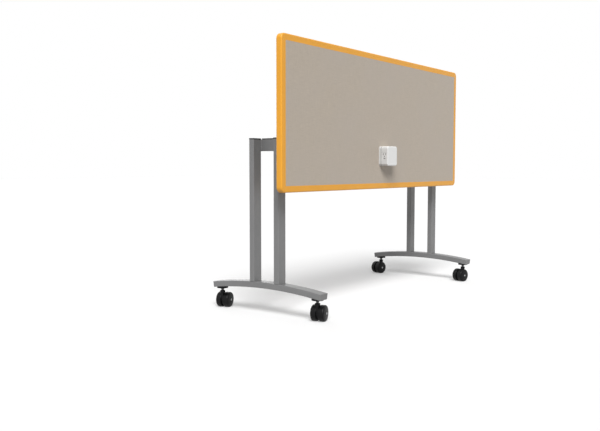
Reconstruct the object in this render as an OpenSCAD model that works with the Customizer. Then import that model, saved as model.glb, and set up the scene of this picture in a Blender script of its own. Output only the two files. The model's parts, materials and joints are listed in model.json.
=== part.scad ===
// Flip top training table on casters, drawn as it is stored: the worktop stands upright beside
// its two end frames. X runs along the table's length, Y across it and Z up. The origin is on the
// floor, midway between the end frames and midway along the feet. The work surface faces -Y.
// Everything that the worktop carries is drawn as in use, lying flat, and on_top() stows it.

/* [Worktop] */
// Length of the worktop
top_l = 1524; // [1460:1:1800]
// Width of the worktop
top_w = 610; // [560:1:700]
// Thickness of the worktop
top_t = 28; // [24:0.5:34]
// Height of the work surface above the floor in use
table_h = 750; // [710:1:780]
// Radius of the worktop's corners
top_corner_r = 22; // [12:1:25]
// Width of the coloured edge on the work surface
edge_w = 26; // [26:1:36]
// Rounding of the coloured edge's outer rims
rim_r = 5; // [2:0.5:8]
// Thickness of the laminate on the work surface
laminate_t = 1; // [0.6:0.1:1.5]
// Thickness of the backing sheet on the underside
backer_t = 0.8; // [0.5:0.1:1.2]
// Depth of the edge's tongue in the core's groove
tongue_d = 8; // [5:0.5:12]
// Thickness of that tongue
tongue_t = 6; // [4:0.5:8]

/* [End frames] */
// Overall length over the two end frames
frame_l = 1375; // [1240:1:1420]
// Column tube along the table's length
column_w = 48; // [40:1:56]
// Column tube across the table
column_d = 25; // [20:0.5:30]
// Gap between the two columns of an end frame
column_gap = 103; // [90:1:120]
// Wall of every steel tube
tube_wall = 2; // [1.5:0.1:3]
// Corner radius of every steel tube
tube_r = 3; // [2.5:0.5:6]
// Thickness of the cap on each column
cap_t = 4; // [3:0.5:6]
// Overhang of the cap past its column
cap_lip = 0.7; // [0.3:0.1:1]
// Depth of the plugs that hold caps and end plugs in their tubes
plug_d = 14; // [8:1:20]
// Thickness of the end plugs' flanges
plug_flange = 3; // [2:0.5:5]
// Clearance round the plugs in their tubes
plug_clear = 0.15; // [0.05:0.05:0.3]

/* [Feet] */
// Length of a foot from tip to tip
foot_l = 566; // [520:1:620]
// Width of the foot tube
foot_w = 50; // [44:1:60]
// Height of the foot tube
foot_h = 25; // [20:0.5:30]
// Least thickness of the casters' sockets below the foot
pad_t = 3.6; // [1:0.2:8]
// Radius of the arch along the top of the foot
arch_r = 1950; // [1700:10:2400]

/* [Arms and crossbeam] */
// Height of the arm tube that joins the columns and carries the pivot
arm_h = 48; // [44:0.5:54]
// Thickness of the arm tube
arm_w = 25; // [22:0.5:30]
// Length of the welded block inside the pivot end of an arm, past the pivot
block_l = 22; // [16:1:30]
// Thickness of the crossbeam tube
beam_w = 25; // [20:0.5:30]
// Width of the plate at each end of the crossbeam
plate_w = 84; // [76:1:92]
// Thickness of that plate
plate_t = 5; // [4:0.5:8]
// Radius of the bolts that hold the crossbeam
bolt_r = 4; // [3:0.5:5]
// Radius of the bolts' button heads
bolt_head_r = 7; // [6:0.5:8]
// Height of the bolts' button heads
bolt_head_h = 4; // [3:0.5:5]
// Wall of the rivet nuts in the arms
nut_wall = 1.5; // [1:0.1:2]
// Length of the rivet nuts inside the arms
nut_l = 12; // [8:1:16]

/* [Pivot] */
// Distance from the rear columns to the pivot
pivot_reach = 30; // [28:0.5:34]
// Distance from the worktop's underside to the pivot
pivot_drop = 19; // [18:0.5:21]
// Radius of the pivot pin
pin_r = 5; // [4:0.25:6]
// Thickness of the pin's head
pin_head_t = 2.5; // [2:0.25:3.5]
// Overhang of the pin's head past the pin
pin_head_lip = 2.5; // [1.5:0.25:3.5]
// Wall of the pivot's flanged bushes
bush_wall = 1.5; // [1:0.1:2]
// Thickness of the bushes' flanges
bush_flange = 1; // [0.8:0.1:1.5]
// Overhang of the bushes' flanges
bush_lip = 2.5; // [1.5:0.25:3.5]
// Thickness of the hinge bracket's plate
bracket_t = 4; // [3:0.5:5]
// Thickness of the hinge bracket's ears
ear_t = 3; // [2.5:0.5:4]
// Radius of the hinge bracket's ears round the pivot
ear_r = 14; // [12:0.5:14.5]
// Length of the bracket's plate behind the pivot
bracket_back = 56; // [50:1:70]
// Length of the bracket's plate in front of the pivot
bracket_front = 50; // [44:1:52]
// Width of the bracket's screw flange inboard of the arm
bracket_flange = 48; // [40:1:60]
// Rounding of the bracket's plate
bracket_r = 6; // [3:0.5:9]

/* [Latch] */
// Radius of the latch shaft
shaft_r = 6; // [5:0.25:7]
// Distance from the front columns to the latch shaft
shaft_reach = 34; // [30:0.5:40]
// Distance from the worktop's underside to the latch shaft
shaft_drop = 17; // [16:0.5:20]
// Radius of the striker pin that the hook holds
striker_r = 4; // [3:0.25:5]
// Distance between the centres of the shaft and the striker pin
hook_r = 23; // [21:0.5:26]
// Angle of the striker pin behind the shaft's foot
striker_angle = 15; // [12:1:18]
// Thickness of the hook
hook_t = 6; // [4:0.5:8]
// Depth of the hook's claw below the striker pin
claw_d = 9; // [7:0.5:12]
// Thickness of the striker's bracket
striker_t = 4; // [3:0.5:5]
// Length of the release paddle from the shaft to its tip
paddle_l = 130; // [110:1:150]
// Width of the paddle's grip
paddle_w = 110; // [80:1:140]
// Thickness of the paddle
paddle_t = 5; // [4:0.5:7]
// Angle of the paddle below level when the latch is shut
paddle_angle = 11; // [10:0.5:14]
// Width of a shaft bearing
bearing_w = 20; // [16:1:26]

/* [Casters] */
// Radius of the wheels
wheel_r = 32.5; // [30:0.5:34]
// Width of one wheel
wheel_w = 26; // [20:0.5:28]
// Gap between the two wheels of a caster
wheel_gap = 11; // [9:0.5:12]
// Distance from a foot's tips to its casters' stems
stem_margin = 31; // [28:0.5:40]
// Radius of the stem
stem_r = 5.5; // [5:0.25:6]
// Radius of the stem's pintle in the caster's hood
pintle_r = 2.5; // [2:0.25:3]
// Distance that the wheels trail behind the stem
trail = 20; // [19:0.5:23]
// Angle at which the stored casters trail, from the table's length
trail_angle = 15; // [0:1:40]
// Radius of the axle
axle_r = 3; // [2.5:0.25:3.5]
// Height of the top of the caster's neck above the floor
neck_z = 75; // [73:0.5:77]
// Radius of the caster's neck
neck_r = 11; // [9.5:0.5:12]
// Height of the underside of the caster's socket above the floor
socket_z = 86; // [83:0.5:88]
// Radius of the caster's socket
socket_r = 24; // [16:0.5:25]

/* [Power module] */
// Size of the power module along the table
power_l = 88; // [80:1:110]
// Size of the power module across the table
power_w = 90; // [80:1:110]
// Height of the power module above the work surface
power_h = 46; // [42:1:56]
// Distance from the module's middle to the worktop's rear edge
power_edge = 150; // [140:1:180]
// Radius of the module's corners
power_r = 12; // [8:1:16]
// Rounding of the module's upper rim
power_rim = 5; // [3:0.5:7]
// Height of the module's base above the work surface
power_base_h = 10; // [6:0.5:14]
// Height of the groove between base and housing
groove_h = 1.5; // [1:0.25:2.5]
// Depth of that groove
groove_d = 1.2; // [0.8:0.1:2]
// Clearance of the module in its cut-out
cutout_clear = 0.5; // [0.3:0.1:1]
// Width of an outlet's insert
outlet_w = 34; // [30:1:38]
// Height of an outlet's insert
outlet_h = 24; // [22:0.5:25]
// Depth of an outlet's insert in the housing
outlet_d = 14; // [12:0.5:18]
// Depth of the base below the worktop's underside
power_sink = 8; // [6:0.5:12]
// Width of the clamp ring under the worktop
clamp_w = 12; // [10:0.5:16]
// Thickness of the clamp ring
clamp_t = 5; // [4:0.5:7]
// Radius of the cord gland's hex
gland_r = 10; // [8:0.5:12]
// Length of the cord gland
gland_l = 20; // [16:1:26]
// Radius of the cord's hole in the gland
cord_r = 4; // [3:0.25:5]

/* [Hidden] */
$fn = 64;

// Fragments of the large arch circles
arch_fn = 720;
// Overrun of cuts past the solids that they cut
over = 1;
// Gap at which the worktop's stops and rests face their seats
seat_gap = 0.3;
// Running clearance of pins and shafts in their bores
run_gap = 0.05;
// Clearance of pressed and screwed parts
snug = 0.02;
// Gap between the hinge bracket's ears and the bushes
ear_gap = 0.2;
// Width of the retaining clips and their grooves
clip_t = 1;
// Depth of the clips' grooves
clip_groove = 0.7;
// Overhang of the clips past their pins
clip_lip = 2.5;
// Length of the pins past their clips
pin_tail = 1.5;
// Clearance between the bracket's plate and the rear column's cap
column_clear = 1.5;
// Size and clearance of the pads on the arms
pad_inset = 1;
// Radius of a screw's shank
screw_r = 2;
// Radius and height of a screw's head, and the taper of that radius
screw_head_r = 4.4;
screw_head_h = 2.8;
screw_head_taper = 1;
// Length of a screw in the core
screw_l = 15;
// Across-corners radius and depth of the hex sockets in screws and bolts
socket_hex_r = 1.7;
socket_hex_d = 1.5;
bolt_hex_r = 2.9;
bolt_hex_d = 2.2;
// Distance from the bracket's screws to the edges of its plate
screw_margin = 9;
// Bulge and length of the rivet nuts' crimp behind the arm's wall
crimp = 1.5;
crimp_l = 3;
// Claw's gap round the striker pin, and its angles from the shaft's foot
claw_gap = 0.4;
claw_tip_angle = 3;
claw_back_angle = 24;
shank_angle = 2;
// Land on the claw's tip, and the angle of the ramp below it that rides over the striker pin
claw_land = 3;
claw_ramp_angle = 14;
// Wall of hubs round the latch shaft
hub_wall = 5;
// Distances of the hook, the shaft's end and the bearings from the striker's bracket
hook_gap = 5.5;
shaft_end_gap = 3.5;
outer_bearing_gap = 30;
inner_bearing_gap = 100;
// Striker bracket: half height, clearance to the crossbeam's plate, and the pin's reach and head
striker_half_h = 9;
striker_clear = 0.5;
striker_l = 14;
striker_head_t = 2;
striker_head_lip = 2;
// Bearing: length and thickness of its foot
bearing_l = 46;
bearing_foot_t = 4;
// Paddle: width of its lever, length of its grip and radius of the grip's lip
lever_w = 44;
grip_l = 38;
grip_r = 10;
grip_lip_r = 4;
// Hood: clearance to each wheel, radius round the axle, clearance of its neck over the wheels
hood_clear = 0.5;
hood_r = 24.5;
neck_lift = 1.5;
// Floor of the neck under the stem, and the chamfer on its top
neck_floor = 2.5;
neck_chamfer = 1.5;
// Step from the neck in to the web below it
neck_step = 1.5;
// Stem: length of its pintle, radius and thickness of its collar, clearance over its top
pintle_l = 19;
collar_r = 7.5;
collar_t = 5;
stem_top_gap = 1;
// Wall of the socket's sleeve round the stem
socket_wall = 2.5;
// Wheel: hub, rim, web, rounding of the tread's outer and inner corners, dome of the outer face
hub_r = 7;
rim_t = 6;
web_t = 3;
shoulder_r = 6;
inner_round = 2;
dome = 3;
// Groove between the tread and the disc of a wheel's outer face
tread_groove_w = 1.2;
tread_groove_d = 1;
// Axle's riveted heads, and their clearance in the wheels
axle_head_r = 4.5;
axle_head_t = 1.2;
// Power module: recess of the outlets, sizes and places of their openings
outlet_recess = 0.5;
outlet_r = 3;
slot_l = 8;
slot_w = 2.2;
slot_gap = 12.7;
slot_y = 9;
ground_r = 2;
ground_y = -1.5;
usb_l = 9;
usb_w = 3.2;
usb_y = -11;
slot_d = 9;
hex_h = 6;
gland_nose_share = 0.78;
// Widening of the cord's hole inside the module's base
cord_space = 1;
gland_ridges = 16;
gland_ridge_r = 0.9;

// Places that follow from the sizes above
column_x = (frame_l - column_w) / 2;
foot_x = (frame_l - foot_w) / 2;
arm_x = frame_l / 2 - column_w - arm_w / 2;
arm_face_x = arm_x - arm_w / 2;
column_y = (column_gap + column_d) / 2;
column_face_y = column_gap / 2 + column_d;
pivot_y = -column_face_y - pivot_reach;
underside_z = table_h - top_t;
pivot_z = underside_z - pivot_drop;
seat_z = underside_z - seat_gap;
column_top_z = seat_z - cap_t;
arm_top_z = seat_z - bracket_t;
arm_bottom_z = arm_top_z - arm_h;
arm_z = arm_top_z - arm_h / 2;
pivot_end_r = arm_top_z - pivot_z;
arm_near_y = pivot_y - pivot_end_r;
bush_r = pin_r + run_gap + bush_wall;
ear_u = arm_w / 2 + bush_flange + ear_gap;
ear_out_u = ear_u + ear_t;
flange_u = ear_out_u + bracket_flange;
bolt_y = plate_w / 2 - bolt_head_r - tube_r;
shaft_y = column_face_y + shaft_reach;
shaft_z = underside_z - shaft_drop;
striker_y = shaft_y - hook_r * sin(striker_angle);
striker_z = shaft_z - hook_r * cos(striker_angle);
striker_u = arm_w / 2 + striker_t;
shaft_half_l = arm_x - striker_u - shaft_end_gap;
hook_x = arm_x - striker_u - hook_gap;
bearing_xs = [arm_x - striker_u - outer_bearing_gap, paddle_w / 2 + inner_bearing_gap];
stem_y = foot_l / 2 - stem_margin;
arch_z = socket_z + pad_t - sqrt(pow(arch_r - foot_h, 2) - pow(stem_y + socket_r, 2));
crown_z = arch_z + arch_r;
foot_angle = asin((foot_l / 2 - plug_flange) / arch_r);
sleeve_r = stem_r + socket_wall;
sleeve_top_z = arch_height(arch_r - tube_wall, stem_y + sleeve_r) - stem_top_gap;
neck_seat_z = 2 * wheel_r + neck_lift + neck_floor;
power_y = power_edge - top_w / 2;
power_bottom_z = underside_z - power_sink;
core_l = top_l - 2 * edge_w;
core_w = top_w - 2 * edge_w;
collar_z = socket_z - collar_t;

// Height of a circle of the arch at a distance from the foot's middle
function arch_height(r, y) = arch_z + sqrt(r * r - y * y);

// Seats of the screws under the worktop, as [x, y, thickness under the head]
bracket_screws = [
    for (side = [-1, 1], u = [ear_out_u + screw_margin, flange_u - screw_margin],
         y = [screw_margin - bracket_back, 0, bracket_front - screw_margin])
        [side * (arm_x - u), pivot_y + y, bracket_t]
];
bearing_screws = [
    for (side = [-1, 1], x = bearing_xs, end = [-1, 1])
        [side * x, shaft_y + end * (bearing_l / 2 - screw_head_r - over), bearing_foot_t]
];
clamp_screws = [
    for (side = [-1, 1], end = [-1, 1])
        [side * (power_l + clamp_w) / 2, power_y + end * power_w / 3, clamp_t]
];
top_screws = concat(bracket_screws, bearing_screws, clamp_screws);

frame_grey = [0.52, 0.51, 0.50];
black_plastic = [0.07, 0.07, 0.07];
bright_steel = [0.72, 0.73, 0.74];
edge_orange = [0.92, 0.62, 0.22];
top_taupe = [0.68, 0.64, 0.59];
board_tan = [0.72, 0.60, 0.45];
module_white = [0.90, 0.90, 0.89];

// Stows what is drawn lying flat: turns it about the pivot until the work surface faces -Y
module on_top()
    translate([0, pivot_y, pivot_z]) rotate([90, 0, 0]) translate([0, -pivot_y, -pivot_z]) children();

// Both hands of a piece that is drawn at the left, -X end
module both_ends() {
    children();
    mirror([1, 0, 0]) children();
}

// A rectangle with true round corners, about its middle
module round_rect(w, h, r) {
    square([w - 2 * r, h], center = true);
    square([w, h - 2 * r], center = true);
    for (x = [r - w / 2, w / 2 - r], y = [r - h / 2, h / 2 - r])
        translate([x, y]) circle(r);
}

// Section of a steel tube
module tube_section(w, h) {
    difference() {
        round_rect(w, h, tube_r);
        bore_section(w, h, 0);
    }
}

// Section of what fits in such a tube, with a clearance
module bore_section(w, h, clear) {
    inset = 2 * (tube_wall + clear);
    round_rect(w - inset, h - inset, tube_r - tube_wall);
}

// Stands a YZ outline up at x and gives it a thickness towards +X
module yz_plate(x, t) translate([x, 0, 0]) rotate([90, 0, 90]) linear_extrude(t) children();

// A cylinder along X from x, towards +X
module x_rod(x, y, z, r, l) translate([x, y, z]) rotate([0, 90, 0]) cylinder(r = r, h = l);

// Half section of a block's border: r wide and h high, with its outer corners rounded by rim
module border_section(r, h, rim, lower_rim) {
    low = lower_rim ? rim : 0;
    translate([0, low]) square([r, h - rim - low]);
    square([r - rim, h]);
    translate([r - rim, h - rim]) circle(rim);
    if (lower_rim) translate([r - rim, rim]) circle(rim);
}

// A block with round corners r and round rims, standing on z = 0
module soft_block(l, w, h, r, rim, lower_rim = false) {
    translate([r - l / 2, r - w / 2, 0]) cube([l - 2 * r, w - 2 * r, h]);
    for (turn = [0, 180]) rotate([0, 0, turn]) {
        translate([l / 2 - r, w / 2 - r, 0]) rotate([90, 0, 0])
            linear_extrude(w - 2 * r) border_section(r, h, rim, lower_rim);
        translate([r - l / 2, w / 2 - r, 0]) rotate([90, 0, 90])
            linear_extrude(l - 2 * r) border_section(r, h, rim, lower_rim);
        translate([l / 2 - r, w / 2 - r, 0])
            rotate_extrude(angle = 90) border_section(r, h, rim, lower_rim);
        translate([r - l / 2, w / 2 - r, 0]) rotate([0, 0, 90])
            rotate_extrude(angle = 90) border_section(r, h, rim, lower_rim);
    }
}

// Feet

// A bar bent to the arch, from its tip at -foot_angle to its tip at foot_angle
module arched_bar(side) {
    translate([side * foot_x, 0, arch_z]) rotate([0, -90, 0]) rotate([0, 0, -foot_angle])
        rotate_extrude(angle = 2 * foot_angle, $fn = arch_fn)
            translate([arch_r - foot_h / 2, 0]) children();
}

// Everything below a cylinder of the arch
module below_arch(r) x_rod(-frame_l, 0, arch_z, r, 2 * frame_l, $fn = arch_fn);

module foot(side) {
    color(frame_grey) difference() {
        arched_bar(side) tube_section(foot_h, foot_w);
        for (y = [-stem_y, stem_y]) translate([side * foot_x, y, socket_z])
            cylinder(r = sleeve_r + snug, h = arch_height(arch_r - foot_h / 2, stem_y) - socket_z);
    }
}

// Plugs that close the feet's tips, square to the arch
module foot_end_plugs() {
    color(frame_grey) for (side = [-1, 1], end = [-1, 1])
        translate([side * foot_x, 0, arch_z]) rotate([-end * foot_angle, 0, 0])
            translate([0, 0, arch_r - foot_h / 2]) rotate([-end * 90, 0, 0]) {
                linear_extrude(plug_flange) round_rect(foot_w, foot_h, tube_r);
                translate([0, 0, -plug_d]) linear_extrude(plug_d) bore_section(foot_w, foot_h, plug_clear);
            }
}

// Columns

module column(side, end) {
    color(frame_grey) difference() {
        translate([side * column_x, end * column_y, crown_z - foot_h])
            linear_extrude(column_top_z - crown_z + foot_h) tube_section(column_w, column_d);
        below_arch(arch_r);
    }
}

// Caps on the columns: their lips overhang on the three sides away from the arm
module column_caps() {
    color(black_plastic) both_ends() for (end = [-1, 1])
        translate([-column_x, end * column_y, column_top_z]) {
            translate([-cap_lip / 2, 0, 0])
                linear_extrude(cap_t) round_rect(column_w + cap_lip, column_d + 2 * cap_lip, tube_r);
            translate([0, 0, -plug_d]) linear_extrude(plug_d) bore_section(column_w, column_d, plug_clear);
        }
}

// Arms

// Side view of an arm: square at the front and rounded about the pivot at its upper rear corner
module arm_outline() {
    translate([pivot_y, arm_bottom_z]) square([column_face_y - pivot_y, arm_h]);
    translate([arm_near_y, arm_bottom_z]) square([column_face_y - arm_near_y, pivot_z - arm_bottom_z]);
    translate([pivot_y, pivot_z]) circle(pivot_end_r);
}

// Sweeps a section along an arm and trims it to the arm's side view
module along_arm(length) {
    intersection() {
        translate([-arm_x, arm_near_y + length, arm_z]) rotate([90, 0, 0]) linear_extrude(length) children();
        yz_plate(-arm_x - arm_w / 2, arm_w) arm_outline();
    }
}

module arm() {
    color(frame_grey) difference() {
        along_arm(column_face_y - arm_near_y) tube_section(arm_w, arm_h);
        pivot_bore();
        for (y = [-bolt_y, bolt_y])
            x_rod(-arm_face_x - tube_wall - over, y, arm_z, bolt_r + nut_wall + snug, tube_wall + 2 * over);
    }
}
module pivot_bore() x_rod(-arm_x - arm_w / 2 - over, pivot_y, pivot_z, bush_r + snug, arm_w + 2 * over);

// Blocks that fill the arms' tubes round the pivot
module arm_pivot_blocks() {
    color(frame_grey) both_ends() difference() {
        along_arm(pivot_end_r + block_l) bore_section(arm_w, arm_h, 0);
        pivot_bore();
    }
}

module arm_end_plugs() {
    color(black_plastic) both_ends() translate([-arm_x, column_face_y, arm_z]) rotate([-90, 0, 0]) {
        linear_extrude(plug_flange) round_rect(arm_w, arm_h, tube_r);
        translate([0, 0, -plug_d]) linear_extrude(plug_d) bore_section(arm_w, arm_h, plug_clear);
    }
}

// Rubber pads on the arms, on which the worktop rests in use
module arm_rest_pads() {
    color(black_plastic) both_ends() translate([-arm_x, 0, arm_top_z])
        linear_extrude(seat_z - arm_top_z)
            round_rect(arm_w - 2 * pad_inset, column_gap - 2 * pad_inset, tube_r);
}

// Flanged bushes, two in each arm, face to face in its middle
module pivot_bushes() {
    color(black_plastic) both_ends() translate([-arm_x, pivot_y, pivot_z]) for (turn = [-90, 90])
        rotate([0, turn, 0]) difference() {
            union() {
                cylinder(r = bush_r, h = arm_w / 2);
                translate([0, 0, arm_w / 2]) cylinder(r = bush_r + bush_lip, h = bush_flange);
            }
            translate([0, 0, -over]) cylinder(r = pin_r + run_gap, h = arm_w / 2 + bush_flange + 2 * over);
        }
}

// Crossbeam

module crossbeam() {
    half = arm_face_x - plate_t;
    color(frame_grey) translate([-half, 0, arm_z]) rotate([90, 0, 90])
        linear_extrude(2 * half) tube_section(beam_w, arm_h);
}

module beam_end_plates() {
    color(frame_grey) both_ends() difference() {
        translate([-arm_face_x, 0, arm_z]) rotate([90, 0, 90])
            linear_extrude(plate_t) round_rect(plate_w, arm_h - tube_r, tube_r);
        for (y = [-bolt_y, bolt_y])
            x_rod(-arm_face_x - over, y, arm_z, bolt_r + snug, plate_t + 2 * over);
    }
}

// Button head bolts from the crossbeam's plates into the arms
module beam_bolts() {
    color(bright_steel) both_ends() for (y = [-bolt_y, bolt_y])
        translate([-arm_face_x + plate_t, y, arm_z]) rotate([0, 90, 0]) {
            translate([0, 0, -plate_t - nut_l]) cylinder(r = bolt_r, h = plate_t + nut_l);
            difference() {
                intersection() {
                    cylinder(r = bolt_head_r, h = bolt_head_h);
                    translate([0, 0, bolt_head_h - 2 * bolt_head_r]) sphere(2 * bolt_head_r);
                }
                translate([0, 0, bolt_head_h - bolt_hex_d])
                    cylinder(r = bolt_hex_r, h = bolt_head_h, $fn = 6);
            }
        }
}

// Rivet nuts crimped in the arms' inboard walls
module beam_rivet_nuts() {
    color(bright_steel) both_ends() for (y = [-bolt_y, bolt_y])
        translate([-arm_face_x, y, arm_z]) rotate([0, -90, 0]) difference() {
            union() {
                cylinder(r = bolt_r + nut_wall, h = nut_l);
                translate([0, 0, tube_wall]) cylinder(r = bolt_r + nut_wall + crimp, h = crimp_l);
            }
            translate([0, 0, -over]) cylinder(r = bolt_r + snug, h = nut_l + 2 * over);
        }
}

// Strikers

module striker_brackets() {
    rear_y = plate_w / 2 + striker_clear;
    color(bright_steel) both_ends() difference() {
        yz_plate(-arm_face_x, striker_t) {
            translate([rear_y, striker_z - striker_half_h]) square([striker_y - rear_y, 2 * striker_half_h]);
            translate([striker_y, striker_z]) circle(striker_half_h);
        }
        x_rod(-arm_face_x - over, striker_y, striker_z, striker_r + snug, striker_t + 2 * over);
    }
}

module striker_pins() {
    reach = striker_t + striker_l;
    color(bright_steel) both_ends() {
        x_rod(-arm_face_x, striker_y, striker_z, striker_r, reach);
        x_rod(-arm_face_x + reach, striker_y, striker_z, striker_r + striker_head_lip, striker_head_t);
    }
}

// Caster sockets and stems, carried by the feet

module at_casters() both_ends() for (end = [-1, 1]) translate([-foot_x, end * stem_y, 0]) children();

// Level pads under the feet, with sleeves that reach up through the feet's lower walls
module caster_sockets() {
    color(black_plastic) difference() {
        union() {
            intersection() {
                at_casters() translate([0, 0, socket_z]) cylinder(r = socket_r, h = crown_z - socket_z);
                below_arch(arch_r - foot_h);
            }
            at_casters() translate([0, 0, socket_z]) cylinder(r = sleeve_r, h = sleeve_top_z - socket_z);
        }
        at_casters() translate([0, 0, socket_z - over])
            cylinder(r = stem_r + snug, h = crown_z - socket_z);
    }
}

module caster_stems() {
    seat = neck_seat_z + run_gap;
    color(bright_steel) at_casters() {
        translate([0, 0, seat]) cylinder(r = stem_r, h = sleeve_top_z - stem_top_gap - seat);
        translate([0, 0, collar_z]) cylinder(r = collar_r, h = collar_t);
        translate([0, 0, seat - pintle_l]) cylinder(r = pintle_r, h = pintle_l + over);
    }
}

// Worktop, drawn flat with its underside at underside_z

// The core's block with a groove round it, trimmed at both faces; the edge is moulded round it
module core_space(bottom, top) {
    tongue_low = (top_t - tongue_t) / 2;
    translate([-core_l / 2, -core_w / 2, underside_z]) {
        translate([0, 0, bottom]) cube([core_l, core_w, tongue_low - bottom]);
        translate([0, 0, tongue_low + tongue_t]) cube([core_l, core_w, top - tongue_low - tongue_t]);
        translate([tongue_d, tongue_d, bottom])
            cube([core_l - 2 * tongue_d, core_w - 2 * tongue_d, top - bottom]);
    }
}

module edge_band() {
    color(edge_orange) on_top() difference() {
        translate([0, 0, underside_z]) soft_block(top_l, top_w, top_t, top_corner_r, rim_r, true);
        core_space(-over, top_t + over);
    }
}

// Cut-out for the power module, right through the worktop
module power_cutout() {
    translate([0, power_y, underside_z - over]) linear_extrude(top_t + 2 * over)
        round_rect(power_l + 2 * cutout_clear, power_w + 2 * cutout_clear, power_r + cutout_clear);
}

module screw_holes(clear) {
    for (s = top_screws) translate([s.x, s.y, underside_z - s.z - over])
        cylinder(r = screw_r + clear, h = s.z + over + screw_l);
}

module worktop_core() {
    color(board_tan) on_top() difference() {
        core_space(backer_t, top_t - laminate_t);
        power_cutout();
        screw_holes(snug);
    }
}

// A sheet over the core's whole face
module sheet(z, t) {
    translate([-core_l / 2, -core_w / 2, z]) cube([core_l, core_w, t]);
}

module worktop_laminate() {
    color(top_taupe) on_top() difference() {
        sheet(table_h - laminate_t, laminate_t);
        power_cutout();
    }
}

module worktop_backer() {
    color(top_taupe) on_top() difference() {
        sheet(underside_z, backer_t);
        power_cutout();
        screw_holes(snug);
    }
}

// Hinge brackets, drawn at the left end

module at_left(u, y) translate([u - arm_x, y, 0]) children();

// Plate seen from below: narrow beside the columns, and wide enough round the pivot for both ears
module bracket_plate() {
    inner_u = column_clear - arm_w / 2;
    back_y = pivot_y - bracket_back;
    strip = flange_u - inner_u;
    at_left(inner_u + strip / 2, back_y + (bracket_back + bracket_front) / 2)
        round_rect(strip, bracket_back + bracket_front, bracket_r);
    wide_l = bracket_back + ear_r + bracket_r / 2;
    at_left(0, back_y + wide_l / 2) round_rect(2 * ear_out_u, wide_l, bracket_r);
}

module hinge_bracket() {
    plate_z = underside_z - bracket_t;
    color(bright_steel) on_top() difference() {
        union() {
            translate([0, 0, plate_z]) linear_extrude(bracket_t) bracket_plate();
            for (x = [-ear_out_u, ear_u]) yz_plate(x - arm_x, ear_t) {
                translate([pivot_y, pivot_z]) circle(ear_r);
                translate([pivot_y - ear_r, pivot_z]) square([2 * ear_r, pivot_drop]);
            }
        }
        x_rod(-arm_x - ear_out_u - over, pivot_y, pivot_z, pin_r + snug, 2 * (ear_out_u + over));
        screw_holes(snug);
    }
}

// Headed pins through the ears and bushes, with a groove for the clip at their inboard ends
module pivot_pins() {
    color(bright_steel) on_top() both_ends() difference() {
        union() {
            x_rod(-arm_x - ear_out_u, pivot_y, pivot_z, pin_r, 2 * ear_out_u + clip_t + pin_tail);
            x_rod(-arm_x - ear_out_u - pin_head_t, pivot_y, pivot_z, pin_r + pin_head_lip, pin_head_t);
        }
        difference() {
            x_rod(ear_out_u - arm_x, pivot_y, pivot_z, pin_r + over, clip_t);
            x_rod(ear_out_u - arm_x - over, pivot_y, pivot_z, pin_r - clip_groove, clip_t + 2 * over);
        }
    }
}

// Open spring clips in the pins' grooves
module pin_clips() {
    inner_r = pin_r - clip_groove + snug;
    color(bright_steel) on_top() both_ends() translate([ear_out_u + snug - arm_x, pivot_y, pivot_z])
        rotate([0, 90, 0]) linear_extrude(clip_t - 2 * snug) difference() {
            circle(pin_r + clip_lip);
            circle(inner_r);
            translate([0, -inner_r * sin(60)]) square([2 * pin_r, 2 * inner_r * sin(60)]);
        }
}

// Pan head screws that hold the brackets, the bearings and the clamp ring to the core
module underside_screws() {
    color(bright_steel) on_top() for (s = top_screws)
        translate([s.x, s.y, underside_z - s.z - screw_head_h]) {
            translate([0, 0, screw_head_h]) cylinder(r = screw_r, h = s.z + screw_l);
            difference() {
                cylinder(r1 = screw_head_r - screw_head_taper, r2 = screw_head_r, h = screw_head_h);
                translate([0, 0, -over]) cylinder(r = socket_hex_r, h = socket_hex_d + over, $fn = 6);
            }
        }
}

// Latch

module latch_bearings() {
    hub_r = shaft_r + hub_wall;
    color(black_plastic) on_top() difference() {
        for (side = [-1, 1], x = bearing_xs) {
            yz_plate(side * x - bearing_w / 2, bearing_w) {
                translate([shaft_y, shaft_z]) circle(hub_r);
                translate([shaft_y - hub_r, shaft_z]) square([2 * hub_r, shaft_drop]);
                translate([shaft_y - bearing_l / 2, underside_z - bearing_foot_t])
                    square([bearing_l, bearing_foot_t]);
            }
        }
        x_rod(-shaft_half_l, shaft_y, shaft_z, shaft_r + run_gap, 2 * shaft_half_l);
        screw_holes(snug);
    }
}

module latch_shaft() {
    color(bright_steel) on_top() x_rod(-shaft_half_l, shaft_y, shaft_z, shaft_r, 2 * shaft_half_l);
}

// Point at a distance from the shaft's centre, at an angle from straight down, positive towards +Y
function from_shaft(reach, angle) = reach * [sin(angle), -cos(angle)];

// A wedge from the shaft's centre, between two such angles
module wedge(from, to, reach) {
    middle = (from + to) / 2;
    polygon([[0, 0], for (a = [from, middle, to]) from_shaft(reach, a)]);
}

// Hooks: a claw concentric with the shaft under the striker pin, and a shank in front of the pin
module latch_hooks() {
    claw_in = hook_r + striker_r + claw_gap;
    claw_out = claw_in + claw_d;
    tip = -striker_angle - claw_tip_angle;
    color(bright_steel) on_top() both_ends() difference() {
        yz_plate(-hook_x, hook_t) translate([shaft_y, shaft_z]) {
            circle(shaft_r + hub_wall);
            intersection() {
                circle(claw_out);
                wedge(-shank_angle, claw_back_angle, 2 * claw_out);
            }
            intersection() {
                difference() {
                    circle(claw_out);
                    circle(claw_in);
                    polygon([
                        from_shaft(claw_in + claw_land, tip),
                        from_shaft(2 * claw_out, tip - claw_ramp_angle),
                        from_shaft(claw_out, tip + claw_ramp_angle)
                    ]);
                }
                wedge(tip, claw_back_angle, 2 * claw_out);
            }
        }
        x_rod(-hook_x - over, shaft_y, shaft_z, shaft_r + snug, hook_t + 2 * over);
    }
}

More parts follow.
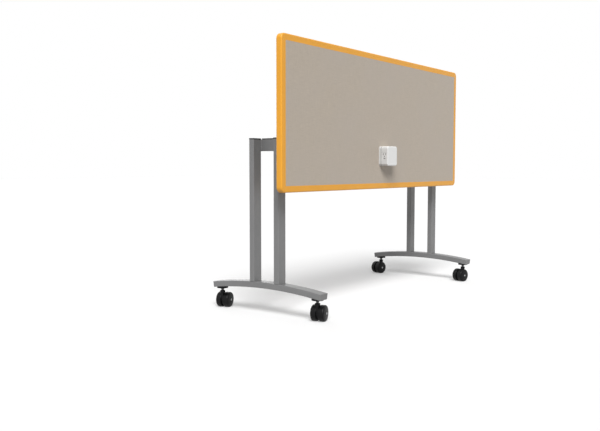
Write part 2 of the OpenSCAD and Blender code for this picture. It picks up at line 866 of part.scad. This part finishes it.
// Release paddle: a hub on the shaft, a lever and a wide grip with a lip for the fingers
module release_paddle() {
    color(black_plastic) on_top() translate([0, shaft_y, shaft_z]) rotate([-paddle_angle, 0, 0])
        difference() {
            union() {
                x_rod(-lever_w / 2, 0, 0, shaft_r + hub_wall, lever_w);
                translate([-lever_w / 2, 0, -paddle_t / 2]) cube([lever_w, paddle_l - grip_l / 2, paddle_t]);
                translate([0, paddle_l - grip_l / 2, -paddle_t / 2])
                    linear_extrude(paddle_t) round_rect(paddle_w, grip_l, grip_r);
                x_rod(grip_r - paddle_w / 2, paddle_l - grip_lip_r, -paddle_t / 2,
                      grip_lip_r, paddle_w - 2 * grip_r);
            }
            x_rod(-lever_w / 2 - over, 0, 0, shaft_r + snug, lever_w + 2 * over);
        }
}

// Power module, drawn about its own middle with z = 0 on the work surface

module at_power() on_top() translate([0, power_y, table_h]) children();

module power_outline(inset) round_rect(power_l - 2 * inset, power_w - 2 * inset, power_r - inset);

module power_base() {
    sunk = top_t + power_sink;
    color(module_white) at_power() difference() {
        union() {
            translate([0, 0, -sunk]) linear_extrude(sunk + power_base_h) power_outline(0);
            linear_extrude(power_base_h + groove_h) power_outline(groove_d);
        }
        translate([0, 0, -sunk - over]) cylinder(r = cord_r + cord_space, h = power_sink + over);
    }
}

// Pocket for an outlet's insert in the housing's left side
module outlet_space() {
    translate([-power_l / 2, 0, (power_h + power_base_h + groove_h) / 2]) rotate([90, 0, 90])
        linear_extrude(outlet_d) round_rect(outlet_w, outlet_h, outlet_r);
}

module power_housing() {
    bottom = power_base_h + groove_h;
    color(module_white) at_power() difference() {
        translate([0, 0, bottom]) soft_block(power_l, power_w, power_h - bottom, power_r, power_rim);
        both_ends() outlet_space();
    }
}

// An outlet's insert with two slots, a ground hole and a small charging port
module outlet() {
    face_x = outlet_recess - power_l / 2;
    face_z = (power_h + power_base_h + groove_h) / 2;
    color(module_white) at_power() difference() {
        intersection() {
            outlet_space();
            translate([face_x, -power_w / 2, 0]) cube([outlet_d - outlet_recess, power_w, power_h]);
        }
        yz_plate(face_x - over, slot_d + over) translate([0, face_z]) {
            for (z = [-slot_gap / 2, slot_gap / 2])
                translate([slot_y, z]) square([slot_l, slot_w], center = true);
            translate([ground_y, 0]) circle(ground_r);
            translate([usb_y, 0]) round_rect(usb_w, usb_l, usb_w / 2 - snug);
        }
    }
}

// Ring that clamps the module from below
module power_clamp_ring() {
    color(black_plastic) on_top() difference() {
        translate([0, power_y, underside_z - clamp_t])
            linear_extrude(clamp_t) power_outline(-clamp_w);
        translate([0, power_y, underside_z - clamp_t - over])
            linear_extrude(clamp_t + 2 * over) power_outline(-snug);
        screw_holes(snug);
    }
}

// Gland for the supply cord: a hex that screws into the base and a ribbed clamping nose
module cord_gland() {
    nose_r = gland_r * gland_nose_share;
    color(black_plastic) on_top() translate([0, power_y, power_bottom_z - gland_l]) difference() {
        union() {
            translate([0, 0, gland_l - hex_h]) cylinder(r = gland_r, h = hex_h, $fn = 6);
            cylinder(r = nose_r, h = gland_l);
            for (i = [0 : gland_ridges - 1]) rotate([0, 0, 360 * i / gland_ridges])
                translate([nose_r, 0, hex_h / 2]) cylinder(r = gland_ridge_r, h = gland_l - 2 * hex_h);
        }
        translate([0, 0, -over]) cylinder(r = cord_r, h = gland_l + 2 * over);
    }
}

// Casters, drawn about the stem with the wheels trailing towards +X

// Puts what is drawn about a left caster's stem at its foot; end is -1 at the rear
module at_left_caster(end) translate([-foot_x, end * stem_y, 0]) rotate([0, 0, trail_angle]) children();

// The same at either side; side is -1 at the left
module at_caster(side, end) {
    if (side < 0) at_left_caster(end) children();
    else mirror([1, 0, 0]) at_left_caster(end) children();
}

// Point where a line from p touches a circle about c, seen from c to the left (1) or right (-1) of p
function touch(p, c, r, turn) =
    let (away = p - c, a = atan2(away.y, away.x) + turn * acos(r / norm(away)))
    c + r * [cos(a), sin(a)];

// Side view of the hood: a disc between the wheels, drawn up to a neck round the stem
module hood_outline() {
    axle = [trail, wheel_r];
    half = neck_r - neck_step;
    low_z = neck_seat_z - neck_floor;
    top_z = neck_z - 2 * neck_chamfer;
    translate(axle) circle(hood_r);
    polygon([
        [half, top_z], [-half, top_z], [-half, low_z],
        touch([-half, low_z], axle, hood_r, 1), axle, touch([half, low_z], axle, hood_r, -1),
        [half, low_z]
    ]);
}

module caster_hood(side, end) {
    hood_t = wheel_gap - 2 * hood_clear;
    low_z = neck_seat_z - neck_floor;
    color(black_plastic) at_caster(side, end) difference() {
        union() {
            translate([0, hood_t / 2, 0]) rotate([90, 0, 0]) linear_extrude(hood_t) hood_outline();
            translate([0, 0, low_z]) cylinder(r = neck_r, h = neck_z - neck_chamfer - low_z);
            translate([0, 0, neck_z - neck_chamfer])
                cylinder(r1 = neck_r, r2 = neck_r - neck_chamfer, h = neck_chamfer);
        }
        translate([0, 0, neck_seat_z]) cylinder(r = stem_r + run_gap, h = neck_z);
        translate([0, 0, neck_seat_z - pintle_l]) cylinder(r = pintle_r + run_gap, h = pintle_l + over);
        axle_rod(axle_r + snug, wheel_gap / 2);
    }
}

// A rod along the axle, to half its length on each side of the hood's middle
module axle_rod(r, half) translate([trail, half, wheel_r]) rotate([90, 0, 0]) cylinder(r = r, h = 2 * half);

// Axle with a riveted head sunk in each wheel's outer face
module caster_axle(side, end) {
    half = wheel_gap / 2 + wheel_w;
    color(bright_steel) at_caster(side, end) {
        axle_rod(axle_r, half);
        for (turn = [-90, 90]) translate([trail, 0, wheel_r]) rotate([turn, 0, 0])
            translate([0, 0, half - axle_head_t]) cylinder(r = axle_head_r, h = axle_head_t);
    }
}

// Section of a wheel: x is the radius, and y runs from its inner face to its outer face
module wheel_section() {
    flat_r = wheel_r - shoulder_r;
    edge = wheel_w - dome;
    dome_r = (flat_r * flat_r + dome * dome) / (2 * dome);
    difference() {
        union() {
            square([flat_r, edge]);
            square([wheel_r - inner_round, edge - shoulder_r]);
            translate([0, inner_round]) square([wheel_r, edge - shoulder_r - inner_round]);
            translate([wheel_r - inner_round, inner_round]) circle(inner_round);
            translate([flat_r, edge - shoulder_r]) circle(shoulder_r);
            intersection() {
                translate([0, wheel_w - dome_r]) circle(dome_r, $fn = arch_fn);
                square([flat_r, wheel_w]);
            }
        }
        translate([hub_r, -over]) square([wheel_r - rim_t - hub_r, edge - web_t + over]);
        translate([flat_r - tread_groove_w, edge - tread_groove_d])
            square([tread_groove_w, dome + tread_groove_d]);
        translate([-over, -over]) square([axle_r + run_gap + over, wheel_w + 2 * over]);
        translate([-over, wheel_w - axle_head_t - seat_gap])
            square([axle_head_r + seat_gap + over, wheel_w]);
        translate([-wheel_w, -over]) square([wheel_w, wheel_w + 2 * over]);
    }
}

// A twin wheel of a caster; way is -1 for the one nearer the rear
module wheel(side, end, way) {
    color(black_plastic) at_caster(side, end) translate([trail, way * wheel_gap / 2, wheel_r])
        rotate([-way * 90, 0, 0]) rotate_extrude() wheel_section();
}

foot(-1);  // left_foot
foot(1);  // right_foot
foot_end_plugs();
column(-1, -1);  // left_rear_column
column(-1, 1);  // left_front_column
column(1, -1);  // right_rear_column
column(1, 1);  // right_front_column
column_caps();
arm();  // left_arm
mirror([1, 0, 0]) arm();  // right_arm
arm_pivot_blocks();
arm_end_plugs();
arm_rest_pads();
crossbeam();
beam_end_plates();
beam_bolts();
beam_rivet_nuts();
pivot_bushes();
striker_brackets();
striker_pins();
caster_sockets();
caster_stems();
worktop_core();
worktop_laminate();
worktop_backer();
edge_band();
hinge_bracket();  // left_hinge_bracket
mirror([1, 0, 0]) hinge_bracket();  // right_hinge_bracket
pivot_pins();
pin_clips();
underside_screws();
latch_bearings();
latch_shaft();
latch_hooks();
release_paddle();
power_base();
power_housing();
outlet();  // left_outlet
mirror([1, 0, 0]) outlet();  // right_outlet
power_clamp_ring();
cord_gland();
caster_hood(-1, -1);  // left_rear_caster_hood
caster_axle(-1, -1);  // left_rear_caster_axle
wheel(-1, -1, -1);  // left_rear_caster_rear_wheel
wheel(-1, -1, 1);  // left_rear_caster_front_wheel
caster_hood(-1, 1);  // left_front_caster_hood
caster_axle(-1, 1);  // left_front_caster_axle
wheel(-1, 1, -1);  // left_front_caster_rear_wheel
wheel(-1, 1, 1);  // left_front_caster_front_wheel
caster_hood(1, -1);  // right_rear_caster_hood
caster_axle(1, -1);  // right_rear_caster_axle
wheel(1, -1, -1);  // right_rear_caster_rear_wheel
wheel(1, -1, 1);  // right_rear_caster_front_wheel
caster_hood(1, 1);  // right_front_caster_hood
caster_axle(1, 1);  // right_front_caster_axle
wheel(1, 1, -1);  // right_front_caster_rear_wheel
wheel(1, 1, 1);  // right_front_caster_front_wheel
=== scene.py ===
import json
import math

import bmesh
import bpy
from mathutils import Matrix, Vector


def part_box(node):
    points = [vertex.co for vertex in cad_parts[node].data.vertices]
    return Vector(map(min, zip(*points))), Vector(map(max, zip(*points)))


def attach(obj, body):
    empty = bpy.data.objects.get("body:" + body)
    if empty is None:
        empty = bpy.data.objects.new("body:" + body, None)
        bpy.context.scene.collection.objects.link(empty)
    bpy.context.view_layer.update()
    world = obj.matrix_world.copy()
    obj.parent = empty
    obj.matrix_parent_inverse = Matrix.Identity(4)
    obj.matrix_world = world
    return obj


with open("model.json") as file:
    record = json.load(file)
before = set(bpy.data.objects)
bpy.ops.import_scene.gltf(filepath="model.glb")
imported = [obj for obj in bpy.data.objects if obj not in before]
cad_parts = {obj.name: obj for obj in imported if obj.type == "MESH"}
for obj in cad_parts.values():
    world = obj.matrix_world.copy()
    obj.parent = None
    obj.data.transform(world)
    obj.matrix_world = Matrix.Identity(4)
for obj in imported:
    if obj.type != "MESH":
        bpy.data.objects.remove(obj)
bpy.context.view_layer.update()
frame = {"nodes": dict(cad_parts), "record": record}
nodes = frame["nodes"]

# Lengths are in metres. X runs along the table, the stowed work surface faces -Y, and Z is up.
MM = 0.001


# Helpers for materials

class Recipe:
    """A node material around one Principled shader, with object-space coordinates."""

    def __init__(self, name, roughness, metallic=0.0, specular=0.5):
        self.material = bpy.data.materials.new(name)
        self.material.use_nodes = True
        self.tree = self.material.node_tree
        self.shader = self.tree.nodes["Principled BSDF"]
        self.shader.inputs["Roughness"].default_value = roughness
        self.shader.inputs["Metallic"].default_value = metallic
        self.shader.inputs["Specular IOR Level"].default_value = specular
        self.place = self.node("ShaderNodeTexCoord").outputs["Object"]

    def node(self, kind, **settings):
        made = self.tree.nodes.new(kind)
        for key, value in settings.items():
            setattr(made, key, value)
        return made

    def link(self, source, target):
        self.tree.links.new(source, target)

    def stretched(self, scale):
        """The object's coordinates, scaled along each axis."""
        mapping = self.node("ShaderNodeMapping")
        mapping.inputs["Scale"].default_value = scale
        self.link(self.place, mapping.inputs["Vector"])
        return mapping.outputs["Vector"]

    def noise(self, scale, detail=3.0, roughness=0.55, place=None):
        """A grey noise; scale is in cells per metre."""
        made = self.node("ShaderNodeTexNoise")
        made.inputs["Scale"].default_value = scale
        made.inputs["Detail"].default_value = detail
        made.inputs["Roughness"].default_value = roughness
        self.link(place or self.place, made.inputs["Vector"])
        return made.outputs["Fac"]

    def cells(self, scale, feature="F1"):
        """A pattern of cells, as outputs Color and Distance; scale is in cells per metre."""
        made = self.node("ShaderNodeTexVoronoi", feature=feature)
        made.inputs["Scale"].default_value = scale
        self.link(self.place, made.inputs["Vector"])
        return made.outputs

    def levels(self, source, low, high, low_out=0.0, high_out=1.0):
        """Maps a grey from low..high to low_out..high_out, clamped."""
        made = self.node("ShaderNodeMapRange")
        made.inputs["From Min"].default_value = low
        made.inputs["From Max"].default_value = high
        made.inputs["To Min"].default_value = low_out
        made.inputs["To Max"].default_value = high_out
        self.link(source, made.inputs["Value"])
        return made.outputs["Result"]

    def spread(self, noise, low_out=0.0, high_out=1.0):
        """Maps the range in which most of a noise lies to low_out..high_out."""
        return self.levels(noise, 0.3, 0.7, low_out, high_out)

    def maths(self, operation, first, second):
        """A sum, product or other operation of two greys or numbers."""
        made = self.node("ShaderNodeMath", operation=operation)
        for socket, value in zip(made.inputs, (first, second)):
            if isinstance(value, (int, float)):
                socket.default_value = value
            else:
                self.link(value, socket)
        return made.outputs["Value"]

    def mix(self, share, first, second):
        """Mixes two colours by a grey."""
        made = self.node("ShaderNodeMix", data_type="RGBA")
        self.link(share, made.inputs["Factor"])
        for name, value in (("A", first), ("B", second)):
            socket = [s for s in made.inputs if s.name == name and s.type == "RGBA"][0]
            if isinstance(value, tuple):
                socket.default_value = (*value, 1)
            else:
                self.link(value, socket)
        return [s for s in made.outputs if s.type == "RGBA"][0]

    def shades(self, share, colour, low, high):
        """Goes by a grey from a colour times low to the same colour times high."""
        return self.mix(share, shade(colour, low), shade(colour, high))

    def colour(self, source):
        self.link(source, self.shader.inputs["Base Color"])

    def gloss(self, source):
        self.link(source, self.shader.inputs["Roughness"])

    def relief(self, height, depth, rounding=0.0):
        """Bumps of a depth, over edges that are softened by a radius; returns the material."""
        bump = self.node("ShaderNodeBump")
        bump.inputs["Distance"].default_value = depth
        self.link(height, bump.inputs["Height"])
        if rounding:
            bevel = self.node("ShaderNodeBevel", samples=6)
            bevel.inputs["Radius"].default_value = rounding
            self.link(bevel.outputs["Normal"], bump.inputs["Normal"])
        self.link(bump.outputs["Normal"], self.shader.inputs["Normal"])
        return self.material


def shade(colour, factor):
    """A colour made lighter or darker by a factor."""
    return tuple(min(1.0, c * factor) for c in colour)


# Materials

# Base colours, in linear light
FRAME_GREY = (0.183, 0.183, 0.184)
BLACK = (0.007, 0.007, 0.0075)
TAUPE = (0.440, 0.381, 0.314)
COOL_TAUPE = (0.427, 0.377, 0.330)
ORANGE = (0.766, 0.345, 0.023)
WHITE = (0.750, 0.750, 0.740)
MODULE_GREY = shade(WHITE, 0.74)
ZINC = (0.380, 0.388, 0.396)
# Plated steel darkened as painted shade, for the stems in the shadow under the feet
STEM_PAINTED_SHADE = (0.060, 0.061, 0.063)
CHIP_DARK = (0.30, 0.19, 0.10)
CHIP_PALE = (0.62, 0.45, 0.28)


def powder_coat():
    """Satin silver-grey powder coat: orange peel, fine metallic flakes lightened as painted
    sparkle, and slight clouding.
    """
    r = Recipe("frame_powder_coat", 0.42, metallic=0.25)
    base = r.shades(r.spread(r.noise(9, 3)), FRAME_GREY, 0.95, 1.05)
    # The flakes are real, and their lighter colour is painted glint
    flake_sparkle = r.levels(r.cells(2600)["Color"], 0.25, 0.95)
    r.colour(r.mix(r.maths("MULTIPLY", flake_sparkle, 0.3), base, shade(FRAME_GREY, 1.3)))
    r.gloss(r.spread(r.noise(60, 2), 0.36, 0.48))
    return r.relief(r.noise(1100, 4), 0.05 * MM, rounding=0.8 * MM)


def moulded_black(name, colour, roughness, rounding):
    """Black moulded plastic with a fine spark-eroded grain and a few paler scuffs."""
    r = Recipe(name, roughness, specular=0.14)
    scuffs = r.levels(r.noise(38, 6, 0.7), 0.58, 0.78)
    r.colour(r.shades(r.maths("MULTIPLY", scuffs, 0.5), colour, 1, 2.4))
    r.gloss(r.spread(r.noise(45, 4), roughness - 0.06, roughness + 0.08))
    return r.relief(r.noise(2400, 3), 0.06 * MM, rounding)


def plated_steel(name, colour):
    """Plated steel: a faint spangle, drawing lines and a dull bloom."""
    r = Recipe(name, 0.3, metallic=1.0)
    base = r.shades(r.cells(260)["Color"], colour, 0.9, 1.1)
    bloom = r.levels(r.noise(30, 5), 0.35, 0.75)
    r.colour(r.mix(r.maths("MULTIPLY", bloom, 0.35), base, shade(colour, 0.72)))
    r.gloss(r.spread(r.noise(90, 4), 0.24, 0.4))
    lines = r.noise(1, 2, place=r.stretched((60, 2200, 2200)))
    return r.relief(lines, 0.02 * MM, rounding=0.3 * MM)


def laminate():
    """Taupe laminate printed with a fine linen weave, under a soft matt texture."""
    r = Recipe("taupe_laminate", 0.48, specular=0.4)
    warp = r.noise(1, 2, place=r.stretched((900, 900, 26)))
    weft = r.noise(1, 2, place=r.stretched((26, 900, 900)))
    weave = r.maths("ADD", warp, weft)
    # Most of the sum of the two noises lies in this range
    low, high = 0.7, 1.3
    cloth = r.shades(r.levels(weave, low, high), TAUPE, 0.88, 1.1)
    r.colour(r.mix(r.spread(r.noise(5, 4), 0.0, 0.5), cloth, COOL_TAUPE))
    r.gloss(r.levels(weave, low, high, 0.44, 0.56))
    return r.relief(weave, 0.03 * MM)


def backing_sheet():
    """Plain backing laminate, a little darker, with the sanded grain of its paper."""
    r = Recipe("backing_sheet", 0.6, specular=0.3)
    fibres = r.noise(1, 5, place=r.stretched((40, 300, 300)))
    r.colour(r.shades(r.spread(fibres), TAUPE, 0.62, 0.74))
    return r.relief(r.noise(700, 4), 0.05 * MM)


def orange_edge():
    """Orange cast edge: an even colour with a fine leather grain and soft clouding of its gloss."""
    r = Recipe("orange_edge", 0.4)
    r.colour(r.shades(r.spread(r.noise(14, 3)), ORANGE, 0.97, 1.02))
    r.gloss(r.spread(r.noise(55, 4), 0.36, 0.46))
    pebble = r.cells(1500, "SMOOTH_F1")["Distance"]
    return r.relief(pebble, 0.04 * MM, rounding=0.4 * MM)


def pale_plastic(name, colour):
    """Satin moulding with a fine grain."""
    r = Recipe(name, 0.4)
    r.colour(r.shades(r.spread(r.noise(25, 3)), colour, 0.985, 1.01))
    r.gloss(r.spread(r.noise(120, 3), 0.36, 0.45))
    return r.relief(r.noise(2600, 3), 0.03 * MM, rounding=0.5 * MM)


def particle_board():
    """Raw board: chips of several browns."""
    r = Recipe("particle_board", 0.8, specular=0.2)
    chips = r.cells(420)
    r.colour(r.mix(chips["Color"], CHIP_DARK, CHIP_PALE))
    return r.relief(chips["Distance"], 0.3 * MM)


FINISHES = {
    "frame_paint": powder_coat(),
    "black_plastic": moulded_black("black_plastic", BLACK, 0.46, 0.5 * MM),
    "wheel_plastic": moulded_black("wheel_plastic", shade(BLACK, 0.9), 0.36, 0.4 * MM),
    "plated_steel": plated_steel("zinc_plated_steel", ZINC),
    "laminate": laminate(),
    "backing_sheet": backing_sheet(),
    "orange_edge": orange_edge(),
    "white_plastic": pale_plastic("white_plastic", WHITE),
    "particle_board": particle_board(),
}

# The stems' plated steel is darkened as painted shade for the shadow under the feet, and the
# outlets are a greyer moulding than their housing
grey_plastic = pale_plastic("grey_plastic", MODULE_GREY)
OWN_FINISHES = {
    "caster_stems": plated_steel("stem_steel_painted_shade", STEM_PAINTED_SHADE),
    "left_outlet": grey_plastic,
    "right_outlet": grey_plastic,
}

for part in frame["record"]["subparts"]:
    mesh = nodes[part["node"]].data
    mesh.materials.clear()
    mesh.materials.append(OWN_FINISHES.get(part["node"], FINISHES[part["material_slot"]]))


def refinish(name, finish, chosen):
    """Gives another finish to the faces of a node that are chosen by their middle and normal."""
    mesh = nodes[name].data
    mesh.materials.append(finish)
    for face in mesh.polygons:
        if chosen(face.center, face.normal):
            face.material_index = len(mesh.materials) - 1


# The module's ends are grey like the outlets in them; a normal with this much X faces sideways
SIDEWAYS = 0.6
for name in ("power_housing", "power_base"):
    refinish(name, grey_plastic, lambda p, n: abs(n.x) > SIDEWAYS)

# The insides of the outlets' openings are black as painted shade for their depth, and the groove
# round the module is black as a painted shadow gap
DEEP = 0.1 * MM
GROOVE = 1.6 * MM
# Faces deeper than the outlets' front are given black plastic as painted shade
for name in ("left_outlet", "right_outlet"):
    reach = max(abs(corner.x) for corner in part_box(name))
    refinish(name, FINISHES["black_plastic"], lambda p, n: abs(p.x) < reach - DEEP)
# Black in the groove is painted shade for the shadow gap between the base and the housing
housing_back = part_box("power_housing")[1].y
refinish("power_base", FINISHES["black_plastic"],
         lambda p, n: housing_back < p.y < housing_back + GROOVE)


# Weld beads

# Radius of the steel tubes' corners, its step in degrees, and radius of the arch along the feet
TUBE_R = 3 * MM
TUBE_STEP = 15
ARCH_R = 1950 * MM
# Radius of a bead, share of it at the bead's tips, length of a ripple, and how much a ripple adds
BEAD_R = 1.5 * MM
TIP = 0.35
RIPPLE = 2.4 * MM
RIPPLE_RISE = 0.09
# Distance between a bead's rings, and points on each
RING_STEP = 0.6 * MM
RING_SIDES = 8
# A bead whose direction has more Z than this is upright
UPRIGHT = 0.9


def foot_top(y):
    """Height of the feet's arched tops at a distance from their middle."""
    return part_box("left_foot")[1].z - ARCH_R + math.sqrt(ARCH_R ** 2 - y * y)


def stepped(points):
    """The same line with its points evenly spaced, about a ring's step apart."""
    lengths = [(b - a).length for a, b in zip(points, points[1:])]
    count = max(2, round(sum(lengths) / RING_STEP))
    placed = []
    for i in range(count + 1):
        left = sum(lengths) * i / count
        part = 0
        while part < len(lengths) - 1 and left > lengths[part]:
            left -= lengths[part]
            part += 1
        placed.append(points[part].lerp(points[part + 1], min(1, left / lengths[part])))
    return placed


def bead(mesh, points):
    """Adds a rippled bead with tapered ends along a line."""
    line = stepped([Vector(p) for p in points])
    last = len(line) - 1
    closed = (line[0] - line[last]).length < RING_STEP
    rings = []
    for i, point in enumerate(line):
        along = (line[min(i + 1, last)] - line[max(i - 1, 0)]).normalized()
        if abs(along.z) < UPRIGHT:
            side = along.cross(Vector((0, 0, 1))).normalized()
        else:
            side = along.orthogonal().normalized()
        up = along.cross(side)
        from_end = min(i, last - i) * RING_STEP
        taper = 1 if closed else min(1, TIP + from_end / (2 * BEAD_R))
        ripple = 1 + RIPPLE_RISE * math.cos(2 * math.pi * i * RING_STEP / RIPPLE)
        reach = BEAD_R * taper * ripple
        rings.append([
            mesh.verts.new(point + reach * (math.cos(a) * side + math.sin(a) * up))
            for a in (2 * math.pi * k / RING_SIDES for k in range(RING_SIDES))
        ])
    for first, second in zip(rings, rings[1:]):
        for k in range(RING_SIDES):
            after = (k + 1) % RING_SIDES
            mesh.faces.new((first[k], first[after], second[after], second[k]))
    mesh.faces.new(reversed(rings[0]))
    mesh.faces.new(rings[-1])


def rounded(width, height):
    """Outline of a tube about its middle, from the middle of its right side round and back."""
    x, y = width / 2, height / 2
    outline = [(x, 0)]
    for cx, cy, start in ((x, y, 0), (-x, y, 90), (-x, -y, 180), (x, -y, 270)):
        for turn in range(0, 91, TUBE_STEP):
            a = math.radians(start + turn)
            outline.append((cx - math.copysign(TUBE_R, cx) + TUBE_R * math.cos(a),
                            cy - math.copysign(TUBE_R, cy) + TUBE_R * math.sin(a)))
    return outline + [(x, 0)]


def finished(name, mesh, slot, body):
    """Makes a smooth-shaded piece of a mesh, with a slot's finish, that rides on a body."""
    bmesh.ops.recalc_face_normals(mesh, faces=mesh.faces)
    data = bpy.data.meshes.new(name)
    mesh.to_mesh(data)
    mesh.free()
    for face in data.polygons:
        face.use_smooth = True
    data.materials.append(FINISHES[slot])
    piece = bpy.data.objects.new(name, data)
    bpy.context.scene.collection.objects.link(piece)
    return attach(piece, body)


def column_welds():
    """Beads round the columns' feet and up the seams between the columns and the arms."""
    mesh = bmesh.new()
    for side in ("left", "right"):
        arm_low, arm_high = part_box(side + "_arm")
        for end in ("rear", "front"):
            low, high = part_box(f"{side}_{end}_column")
            middle = (low + high) / 2
            inboard = -1 if middle.x > 0 else 1
            # The outboard side is flush with the foot's side, so it has no bead
            half = (high.x - low.x) / 2 - TUBE_R
            kept = [p for p in rounded(high.x - low.x, high.y - low.y) if p[0] < half]
            bead(mesh, [(middle.x - inboard * x, middle.y + y, foot_top(middle.y + y))
                        for x, y in kept])
            seam_x = high.x if inboard > 0 else low.x
            for y in (low.y, high.y):
                bead(mesh, [(seam_x, y, arm_low.z + TUBE_R), (seam_x, y, arm_high.z - TUBE_R)])
    finished("column_welds", mesh, "frame_paint", "frame")


def beam_welds():
    """Beads round the crossbeam's ends on its plates."""
    mesh = bmesh.new()
    low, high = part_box("crossbeam")
    middle = (low + high) / 2
    for x in (low.x, high.x):
        bead(mesh, [(x, middle.y + y, middle.z + z)
                    for y, z in rounded(high.y - low.y, high.z - low.z)])
    finished("beam_welds", mesh, "frame_paint", "frame")


column_welds()
beam_welds()


# Floor, light and camera

# Half the floor's width, its grey where it is seen and where it only lights the table, and the
# glow of the seen floor, with which it is just white where it has no shadow
FLOOR_HALF = 30
SEEN_GREY = (0.70, 0.70, 0.70)
LIGHTING_GREY = (0.45, 0.45, 0.45)
FLOOR_GLOW = 0.2
# The photograph's view, from a pinhole camera fitted to the table's corners, in degrees and mm
EYE = (-2.9623, -1.9081, 0.6027)
TILT_DOWN, TURN = 3.748, -52.861
SENSOR, LENS = 36, 44.03


def seen_rays(tree):
    """A grey that is 1 for rays from the camera and for those that gloss or glass sends on."""
    rays = tree.nodes.new("ShaderNodeLightPath")
    seen = rays.outputs["Is Camera Ray"]
    for kind in ("Is Glossy Ray", "Is Transmission Ray"):
        either = tree.nodes.new("ShaderNodeMath")
        either.operation = "MAXIMUM"
        tree.links.new(seen, either.inputs[0])
        tree.links.new(rays.outputs[kind], either.inputs[1])
        seen = either.outputs["Value"]
    return seen


def stage_floor():
    """A wide white floor that keeps the table's shadow and shows pure white where it has none."""
    corners = [(x * FLOOR_HALF, y * FLOOR_HALF, 0) for x, y in ((-1, -1), (1, -1), (1, 1), (-1, 1))]
    mesh = bpy.data.meshes.new("studio_floor")
    mesh.from_pydata(corners, [], [(0, 1, 2, 3)])
    floor = bpy.data.objects.new("studio_floor", mesh)
    bpy.context.scene.collection.objects.link(floor)
    r = Recipe("studio_floor", 0.8, specular=0.0)
    seen = seen_rays(r.tree)
    r.colour(r.mix(seen, LIGHTING_GREY, SEEN_GREY))
    r.shader.inputs["Emission Color"].default_value = (1, 1, 1, 1)
    r.link(r.levels(seen, 0, 1, 0, FLOOR_GLOW), r.shader.inputs["Emission Strength"])
    mesh.materials.append(r.material)


def sun_light(name, towards, strength, angle):
    """A far softbox; towards points to it, and angle is how wide it looks, in degrees."""
    light = bpy.data.lights.new(name, "SUN")
    light.energy = strength
    light.angle = math.radians(angle)
    lamp = bpy.data.objects.new(name, light)
    lamp.rotation_euler = Vector(towards).to_track_quat("Z", "Y").to_euler()
    bpy.context.scene.collection.objects.link(lamp)


def studio_world(strength):
    """An even sky of a strength, which the camera and reflections see as plain white."""
    world = bpy.data.worlds.new("studio")
    world.use_nodes = True
    tree = world.node_tree
    level = tree.nodes.new("ShaderNodeMapRange")
    level.inputs["To Min"].default_value = strength
    level.inputs["To Max"].default_value = 1
    tree.links.new(seen_rays(tree), level.inputs["Value"])
    background = tree.nodes["Background"]
    background.inputs["Color"].default_value = (1, 1, 1, 1)
    tree.links.new(level.outputs["Result"], background.inputs["Strength"])
    bpy.context.scene.world = world


def place_camera():
    """A camera at the photograph's viewing angle."""
    camera = bpy.data.cameras.new("camera")
    camera.sensor_width = SENSOR
    camera.lens = LENS
    camera.clip_end = 100
    eye = bpy.data.objects.new("camera", camera)
    eye.location = EYE
    eye.rotation_euler = (math.radians(90 - TILT_DOWN), 0, math.radians(TURN))
    bpy.context.scene.collection.objects.link(eye)
    bpy.context.scene.camera = eye


stage_floor()
sun_light("key", towards=(-0.54, -0.45, 0.71), strength=3.65, angle=30)
# Low behind the table, so that it lights the back and hardly reaches the floor
sun_light("fill", towards=(0.40, 0.91, 0.02), strength=1.4, angle=60)
studio_world(0.3)
place_camera()
bpy.context.scene.view_settings.view_transform = "Standard"
